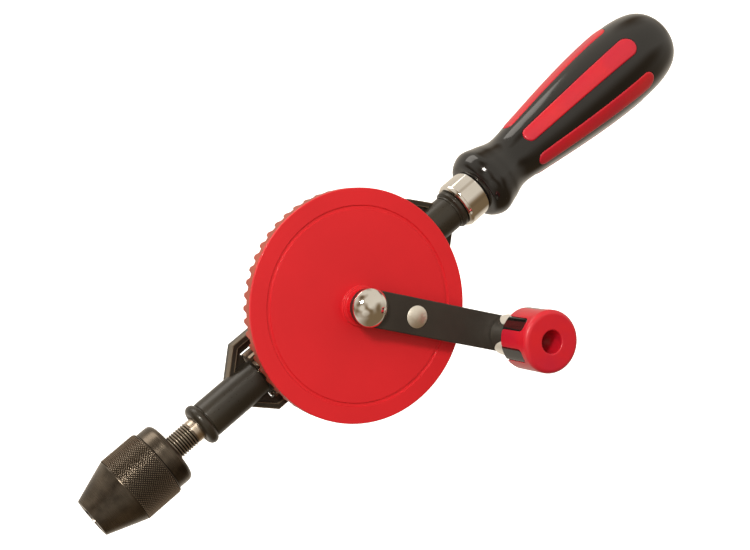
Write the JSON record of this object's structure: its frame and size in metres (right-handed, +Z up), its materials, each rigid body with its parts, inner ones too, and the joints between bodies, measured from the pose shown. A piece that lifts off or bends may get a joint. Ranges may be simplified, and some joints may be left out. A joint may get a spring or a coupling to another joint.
{
  "type": "hand drill",
  "caption": "Crank-driven hand drill: a crown wheel turns the spindle and its three-jaw chuck through a pinion, with a straight rear handle.",
  "frame": {"origin": "mouth of the chuck's open jaws, on the drill axis", "axes": "+X along the drill axis towards the handle, wheel and crank on the -Y side, +Z up in the wheel's plane"},
  "size_m": [0.3132, 0.0726, 0.1028],
  "materials": {
    "frame_paint": "black semi-gloss paint over a casting",
    "bronze": "plain bearing bronze",
    "spindle_steel": "bright turned steel",
    "gear_steel": "zinc plated",
    "bright_steel": "bright steel",
    "wheel_paint": "glossy red paint",
    "chrome": "polished",
    "arm_paint": "black satin paint",
    "rivet_nickel": "satin nickel",
    "black_plastic": "glossy black",
    "red_plastic": "glossy red",
    "black_oxide": "black oxide, oiled",
    "jaw_steel": "hardened steel",
    "spring_steel": "wire"
  },
  "bodies": {
    "drill_frame": {"frame": "frame_paint", "front_bush": "bronze", "rear_bush": "bronze", "thrust_washer": "bright_steel", "idler_washer": "bright_steel", "idler_axle": "bright_steel", "wheel_axle": "bright_steel", "wheel_washer": "bright_steel", "axle_cap": "chrome", "handle_tang": "bright_steel", "handle_ferrule": "chrome", "handle_grip": "black_plastic", "handle_inlays": "red_plastic"},
    "crank": {"gear_wheel": "wheel_paint", "crank_arm": "arm_paint", "arm_rivet": "rivet_nickel", "knob_pin": "bright_steel"},
    "knob": {"knob_ferrule": "chrome", "knob_core": "black_plastic", "knob_shell": "red_plastic"},
    "spindle_train": {"spindle": "spindle_steel", "drive_pinion": "gear_steel", "pinion_pin": "bright_steel", "chuck_body": "black_oxide", "jaw_springs": "spring_steel"},
    "sleeve": {"chuck_sleeve": "black_oxide"},
    "jaw_a": {"jaw_1": "jaw_steel"},
    "jaw_b": {"jaw_2": "jaw_steel"},
    "jaw_c": {"jaw_3": "jaw_steel"},
    "idler": {"idler_pinion": "gear_steel"}
  },
  "joints": [
    {"name": "crank_spin", "type": "hinge", "parent": "drill_frame", "child": "crank", "pos_m": [0.1232, 0, 0], "axis": [0, 1, 0], "continuous": true},
    {"name": "knob_spin", "type": "hinge", "parent": "crank", "child": "knob", "pos_m": [0.16387, -0.03, -0.04613], "axis": [0, 1, 0], "continuous": true},
    {"name": "spindle_spin", "type": "hinge", "parent": "drill_frame", "child": "spindle_train", "pos_m": [0.05, 0, 0], "axis": [-1, 0, 0], "continuous": true},
    {"name": "idler_spin", "type": "hinge", "parent": "drill_frame", "child": "idler", "pos_m": [0.1642, 0, 0], "axis": [-1, 0, 0], "continuous": true},
    {"name": "sleeve_turn", "type": "hinge", "parent": "spindle_train", "child": "sleeve", "pos_m": [0.022, 0, 0], "axis": [1, 0, 0], "range_deg": [0, 1440], "deforming": ["jaw_springs"]},
    {"name": "jaw_a_slide", "type": "slide", "parent": "spindle_train", "child": "jaw_a", "axis": [0, 0, -1], "range_m": [0, 0.003]},
    {"name": "jaw_b_slide", "type": "slide", "parent": "spindle_train", "child": "jaw_b", "axis": [0, 0.866, 0.5], "range_m": [0, 0.003]},
    {"name": "jaw_c_slide", "type": "slide", "parent": "spindle_train", "child": "jaw_c", "axis": [0, -0.866, 0.5], "range_m": [0, 0.003]}
  ],
  "couplings": [
    {"joint": "spindle_spin", "follows": "crank_spin", "ratio": 4.3846},
    {"joint": "idler_spin", "follows": "crank_spin", "ratio": -4.3846},
    {"joint": "jaw_a_slide", "follows": "sleeve_turn", "m_per_rad": 0.0001193},
    {"joint": "jaw_b_slide", "follows": "sleeve_turn", "m_per_rad": 0.0001193},
    {"joint": "jaw_c_slide", "follows": "sleeve_turn", "m_per_rad": 0.0001193}
  ]
}
